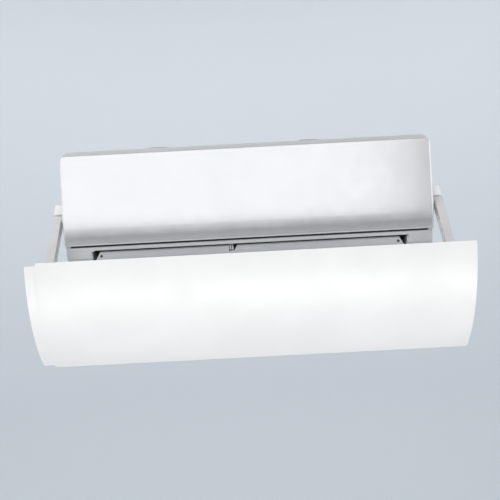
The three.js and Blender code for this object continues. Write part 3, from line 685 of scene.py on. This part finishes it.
BOLTS = (("arm_left_swing", "arm", "unit"), ("deflector_tilt", "tilt", "deflector"))
for side in SIDES:
    flip = mirrored if side == "left" else (lambda mesh: mesh)
    piece(
        f"arm_bar_{side}", flip(deflector_arm()), f"arm_{side}", DEFLECTOR_LOOK,
        [f"deflector_arm_{side}"], bevel=2.2, segments=5,
    )
    for joint, kind, body in BOLTS:
        bolt = flip(pivot_bolt(f"{kind}_bolt_right", PIVOTS[joint]))
        node = f"{kind}_bolt_{side}"
        piece(
            f"{kind}_pivot_{side}", bolt, body, DEFLECTOR_LOOK, [node],
            bevel=0.25,
        )


# ---------------------------------------------------------------- heat exchanger
def slab_matrix(node):
    (y, z), lean, _, _ = COIL_SLABS[node]
    place = Matrix.Translation(Vector((0, y, z)) * MM)
    return place @ Matrix.Rotation(math.radians(-lean), 4, "X")


def tube_seats(length, rows):
    """Where tubes pass through a slab: two staggered columns of (y, z) seats."""
    pitch = length / rows
    return [
        (y, pitch * (row + (0.3 if y < 0 else 0.7)))
        for y in (-COIL_DEPTH / 4, COIL_DEPTH / 4)
        for row in range(rows)
    ]


def finned_slab(node):
    low, high = box_mm(node)
    length = COIL_SLABS[node][2]
    half = COIL_DEPTH / 2
    count = int((high.x - low.x) / FIN_PITCH)
    chamfer = 0.6
    fin = [
        (-half, chamfer), (-half + chamfer, 0), (half - chamfer, 0), (half, chamfer),
        (half, length), (-half, length),
    ]
    middles = [low.x + FIN_PITCH * (i + 0.5) for i in range(count)]
    fins = [prism(fin, (x - FIN_THICKNESS / 2, x + FIN_THICKNESS / 2)) for x in middles]
    return moved(gathered(fins), slab_matrix(node))


def coil_tubes(node):
    """Copper tubes through a slab, and the return bends that join them past its ends."""
    _, _, length, rows = COIL_SLABS[node]
    left = box_mm("coil_plate_left")[0].x
    right = box_mm("coil_plate_right")[1].x
    seats = tube_seats(length, rows)
    straight = (left + 12.5, right - 12.5)
    parts = [rod(straight, y, z, COIL_TUBE_RADIUS, 16) for y, z in seats]
    for column in (seats[:rows], seats[rows:]):
        bends = (
            (straight[0], -1, zip(column[::2], column[1::2])),
            (straight[1], 1, zip(column[1::2], column[2::2])),
        )
        for x, outward, pairs in bends:
            for (y0, z0), (y1, z1) in pairs:
                y, centre, half = (y0 + y1) / 2, (z0 + z1) / 2, (z1 - z0) / 2
                bow = []
                for k in range(15):
                    turn = math.pi * k / 14
                    reach = x + outward * 0.75 * half * math.sin(turn)
                    bow.append(Vector((reach, y, centre - half * math.cos(turn))))
                parts.append(tube(bow, COIL_TUBE_RADIUS, 14))
    return moved(gathered(parts), slab_matrix(node))


for node in COIL_SLABS:
    piece(
        f"{node}_fins", finned_slab(node), "unit", LOOKS["fin_aluminium"],
        [node], bevel=0,
    )
    piece(f"{node}_tubes", coil_tubes(node), "unit", LOOKS["copper"], bevel=0)


def coil_end_plate(node):
    """Folded plate at the coil's end: one strip for each slab, joined by a corner piece."""
    low, high = box_mm(node)
    sheet = COIL_PLATE_SHEET
    inner = (high.x - sheet, high.x) if low.x < 0 else (low.x, low.x + sheet)
    spine = [Vector(point) for point in COIL_PLATE_SPINE]
    strips = []
    for one, two in zip(spine, spine[1:]):
        along = (two - one).normalized()
        side = Vector((-along.y, along.x)) * COIL_PLATE_HALF_WIDTH
        strips.append(prism([one - side, two - side, two + side, one + side], inner))
        if two != spine[-1]:
            strips.append(rod(inner, two.x, two.y, COIL_PLATE_HALF_WIDTH, 36))
    return union(*strips)


for side in SIDES:
    node = f"coil_plate_{side}"
    piece(
        f"coil_end_plate_{side}", coil_end_plate(node), "unit", LOOKS["zinc_steel"],
        [node], bevel=0.2, segments=1,
    )


# ---------------------------------------------------------------- blower
def blower_fan():
    low, high = box_mm("blower_wheel")
    y, z = (low.y + high.y) / 2, (low.z + high.z) / 2
    radius = (high.z - low.z) / 2
    left, right = BLOWER_LEFT, high.x
    section = arc(0, 0, 8, -55, 55, 10) + arc(0, 0, 7.1, 55, -55, 10)
    blades = []
    for i in range(BLOWER_BLADES):
        blade = prism(section, (left + 1, right - 1))
        lean = Matrix.Rotation(math.radians(BLADE_LEAN), 4, "X")
        out = Matrix.Translation(Vector((0, 0, radius - 7.4)) * MM)
        turn = Matrix.Rotation(math.tau * i / BLOWER_BLADES, 4, "X")
        blades.append(moved(blade, turn @ out @ lean))
    end_plate = 2.5
    step = (right - left - end_plate) / BLOWER_SPANS
    ring_profile = arc(0, 0, radius, 0, 355, 71)
    rings = []
    for i in range(1, BLOWER_SPANS):
        x = left + step * i
        disc = prism(ring_profile, (x, x + 1.6))
        rings.append(cut(disc, rod((x - 1, x + 3), 0, 0, radius - 14, 48)))
    ends = [rod((x, x + end_plate), 0, 0, radius, 72) for x in (left, right - end_plate)]
    hub = rod((right - 22, right), 0, 0, 13)
    stub = rod((left - 19, left + 1), 0, 0, 4)
    bore = rod((right - 20, right + 2), 0, 0, 4.4)
    bored = [cut(part, bore.copy()) for part in (ends[1], hub)]
    wheel = gathered([*blades, *rings, ends[0], stub, *bored])
    return moved(wheel, Matrix.Translation(Vector((0, y, z)) * MM))


piece(
    "blower_fan", blower_fan(), "blower", LOOKS["dark_plastic"],
    ["blower_wheel"], bevel=0,
)


# ---------------------------------------------------------------- air filters
def filter_frame(side):
    """A filter's frame of crossed bars, with a grip above it."""
    low, high = box_mm(f"filter_{side}")
    top = high.z - FILTER_GRIP_RISE
    bar = 3.5
    depth = (low.y, high.y)
    frame_bars = []
    for i in range(4):
        x = low.x + (high.x - low.x - bar) * i / 3
        z = low.z + (top - low.z - bar) * i / 3
        frame_bars.append(block((x, x + bar), depth, (low.z, top)))
        frame_bars.append(block((low.x, high.x), depth, (z, z + bar)))
    middle = (low.x + high.x) / 2
    grip = prism(rounded_rectangle(middle - 22, middle + 22, top - 6, high.z, 3, 0.5), depth, "Y")
    return union(frame_bars[0], *frame_bars[1:], grip)


def filter_weave(side):
    """A filter's screen: level strands laid behind upright ones."""
    low, high = box_mm(f"filter_{side}")
    middle = (low.y + high.y) / 2
    top = high.z - FILTER_GRIP_RISE
    pitch, strand = 2.8, 0.4
    upright = [
        block((x, x + strand), (middle - 0.4, middle), (low.z + 1, top - 1))
        for x in (low.x + 2 + pitch * i for i in range(int((high.x - low.x - 4) / pitch)))
    ]
    level = [
        block((low.x + 1, high.x - 1), (middle, middle + 0.4), (z, z + strand))
        for z in (low.z + 2 + pitch * i for i in range(int((top - low.z - 4) / pitch)))
    ]
    return gathered(upright + level)


for side in SIDES:
    body = f"filter_{side}"
    piece(
        f"filter_frame_{side}", filter_frame(side), body, LOOKS["filter_frame"],
        [body], bevel=0.4,
    )
    piece(
        f"filter_weave_{side}", filter_weave(side), body, LOOKS["filter_mesh"],
        bevel=0,
    )


# ---------------------------------------------------------------- refrigerant pipes
PIPES = {  # radius, start (y, z), X of the drop, height along the wall
    "gas_pipe": (6, (-150, 0), -409, -104),
    "liquid_pipe": (3.4, (-160, -34), -394, -124),
}


def refrigerant_pipe(node):
    radius, (start_y, start_z), x, z = PIPES[node]
    wall_y = -24
    route = [
        (-388, start_y, start_z),
        (x, start_y + 12, (start_z + z) / 2),
        (x, -90, z + 2),
        (x + 2, -48, z),
        (x + 18, wall_y - 2, z),
        (-350, wall_y, z),
        (box_mm(node)[1].x, wall_y, z),
    ]
    return tube(curve_through([Vector(p) for p in route], 12), radius, 24)


for node in PIPES:
    piece(
        f"{node}_run", refrigerant_pipe(node), "unit", LOOKS["copper"], [node], bevel=0
    )


# ---------------------------------------------------------------- finishes of kept CAD nodes
HOLED = ("front_frame", "top_grille", "rear_casing", "terminal_block")


def dress(node, look, bevel, segments):
    """A CAD node's material and rounded edges."""
    thing = NODES[node]
    thing.data.materials.clear()
    thing.data.materials.append(LOOKS[look])
    soften(thing, bevel, segments, CAD_WELD, node in HOLED)


KEPT = {  # look, bevel width in millimetres, bevel segments
    "front_frame": ("satin_white", 0.4, 3),
    "top_grille": ("satin_white", 0.3, 2),
    "rear_casing": ("casing_plastic", 0.3, 2),
    "wall_plate": ("zinc_steel", 0.3, 2),
    "drain_pan": ("foam", 0.4, 1),
    "louver": ("louver_white", 0.6, 3),
    "louver_support": ("satin_white", 0.4, 2),
    "louver_motor": ("dark_plastic", 0.5, 2),
    "motor_shaft": ("zinc_steel", 0.3, 1),
    "bearing_bush": ("rubber", 0.4, 2),
    "fan_motor": ("zinc_steel", 1.2, 3),
    "motor_strap": ("zinc_steel", 0.3, 1),
    "control_box": ("dark_plastic", 0.5, 2),
    "control_board": ("circuit_board", 0.4, 2),
    "control_box_cover": ("zinc_steel", 0.3, 1),
    "terminal_block": ("dark_plastic", 0.3, 2),
    "display_board": ("circuit_board", 0.2, 1),
    "receiver_lens": ("smoked_lens", 0.3, 2),
    "auto_run_button": ("satin_white", 0.4, 3),
    "room_sensor": ("copper", 0.4, 2),
    "gas_flare_nut": ("brass", 0.6, 3),
    "liquid_flare_nut": ("brass", 0.5, 3),
    "adhesive_pad_left": ("foam", 0.1, 1),
    "adhesive_pad_right": ("foam", 0.1, 1),
    "casing_screw_left": ("zinc_steel", 0.2, 2),
    "casing_screw_right": ("zinc_steel", 0.2, 2),
    "vane_link_left": ("satin_white", 0.3, 1),
    "vane_link_right": ("satin_white", 0.3, 1),
    **{f"side_bracket_{side}": ("deflector_white", 1.0, 4) for side in SIDES},
    **{f"tilt_bracket_{side}": ("deflector_white", 0.8, 3) for side in SIDES},
    **{f"vane_{side}_{i}": ("satin_white", 0.3, 2) for side in SIDES for i in range(1, 5)},
}
for node, finish in KEPT.items():
    dress(node, *finish)


# ---------------------------------------------------------------- studio
BACKDROP = (0.68, 0.72, 0.765)  # pale blue-grey wall behind the object
STUDIO_FRONT = (0.61, 0.605, 0.605)  # neutral floor and wall on the camera's side
PAINT_BLEND = (-1.5, 1.0)  # Y range in metres over which one paint turns into the other
WORLD_COLOR = (0.94, 0.95, 0.97)
WORLD_STRENGTH = 0.3
LIGHTS = {  # place, target, size (all in metres) and power in watts
    # The fascia's flat part mirrors the two softboxes.
    "softbox_wide": ((-0.52, -3.7, 0.36), (-0.52, 0, 0.06), (3.3, 2.4), 19.6),
    "softbox": ((-0.02, -3.7, 0.36), (-0.02, 0, 0.06), (1.4, 2.4), 6.3),
    "key": ((-2.2, -2.6, 2.0), (0, -0.2, -0.1), (2.0, 2.0), 40),
    "right_key": ((2.8, -2.4, 1.2), (0, -0.2, -0.1), (1.4, 1.8), 15),
    "low_fill": ((0.1, -2.6, -2.0), (0, -0.2, -0.25), (3.4, 1.2), 63),
    "backdrop_wash": ((0, 1.7, 2.3), (0, 4.8, -1.3), (5.0, 1.0), 73),
    "back_left": ((-2.4, 2.6, 2.3), (0, 0, 0), (1.8, 1.6), 8),
    "back_right": ((2.4, 2.6, 2.0), (0, 0, 0), (1.8, 1.6), 6),
}


def studio_bowl():
    """Pale floor that curves up into a round pale wall, well clear of the object."""
    floor_z, radius, bend, rim = -2.45, 3.6, 1.2, 2.4
    profile = [(0.0, floor_z), (radius, floor_z)]
    profile += [(radius + x, z) for x, z in arc(0, floor_z + bend, bend, -90, 0, 16)]
    profile.append((radius + bend, rim))
    bm = bmesh.new()
    points = [bm.verts.new((r, 0, z)) for r, z in profile]
    edges = [bm.edges.new(pair) for pair in zip(points, points[1:])]
    bmesh.ops.spin(
        bm, geom=points + edges, axis=(0, 0, 1), cent=(0, 0, 0), steps=96, angle=math.tau
    )
    bmesh.ops.remove_doubles(bm, verts=bm.verts, dist=1e-4)
    bmesh.ops.recalc_face_normals(bm, faces=bm.faces)
    mesh = bpy.data.meshes.new("studio")
    bm.to_mesh(mesh)
    bm.free()
    mesh.shade_smooth()
    paint = Nodes("studio_paint", BACKDROP, 0.9)
    split = paint.add("ShaderNodeSeparateXYZ")
    paint.link(paint.place, split.inputs["Vector"])
    depth = paint.add("ShaderNodeMapRange")
    depth.inputs["From Min"].default_value, depth.inputs["From Max"].default_value = PAINT_BLEND
    paint.link(split.outputs["Y"], depth.inputs["Value"])
    stops = [(0.0, STUDIO_FRONT), (1.0, BACKDROP)]
    paint.link(paint.ramp(depth.outputs["Result"], stops), paint.shader.inputs["Base Color"])
    mesh.materials.append(paint.material)
    bowl = bpy.data.objects.new("studio", mesh)
    bpy.context.scene.collection.objects.link(bowl)


def soft_light(name, place, target, size, power):
    """A rectangular area light that the camera doesn't see."""
    data = bpy.data.lights.new(name, "AREA")
    data.shape = "RECTANGLE"
    data.size, data.size_y = size
    data.energy = power
    light = bpy.data.objects.new(name, data)
    light.location = place
    light.rotation_euler = (Vector(target) - Vector(place)).to_track_quat("-Z", "Y").to_euler()
    light.visible_camera = False
    bpy.context.scene.collection.objects.link(light)


studio_bowl()
for name, light in LIGHTS.items():
    soft_light(name, *light)

world = bpy.data.worlds.new("studio")
world.use_nodes = True
background = world.node_tree.nodes["Background"]
background.inputs["Color"].default_value = (*WORLD_COLOR, 1)
background.inputs["Strength"].default_value = WORLD_STRENGTH
bpy.context.scene.world = world
bpy.context.scene.view_settings.view_transform = "Standard"

# ---------------------------------------------------------------- camera
CAMERA_DISTANCE = 1.9  # in front of the fascia
CAMERA_ROLL = 3.0  # degrees: the picture leans with its right side up
CAMERA_RISE = 0.0047  # above the deflector's top edge
CAMERA_LENS = 59.0
fascia_low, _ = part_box("front_panel")
deflector_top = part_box("deflector_panel")[1].z
camera_data = bpy.data.cameras.new("camera")
camera_data.lens = CAMERA_LENS
camera_data.sensor_width = 36.0
camera = bpy.data.objects.new("camera", camera_data)
camera.location = (0, fascia_low.y - CAMERA_DISTANCE, deflector_top + CAMERA_RISE)
camera.rotation_euler = (math.radians(90), math.radians(CAMERA_ROLL), 0)
bpy.context.scene.collection.objects.link(camera)
bpy.context.scene.camera = camera
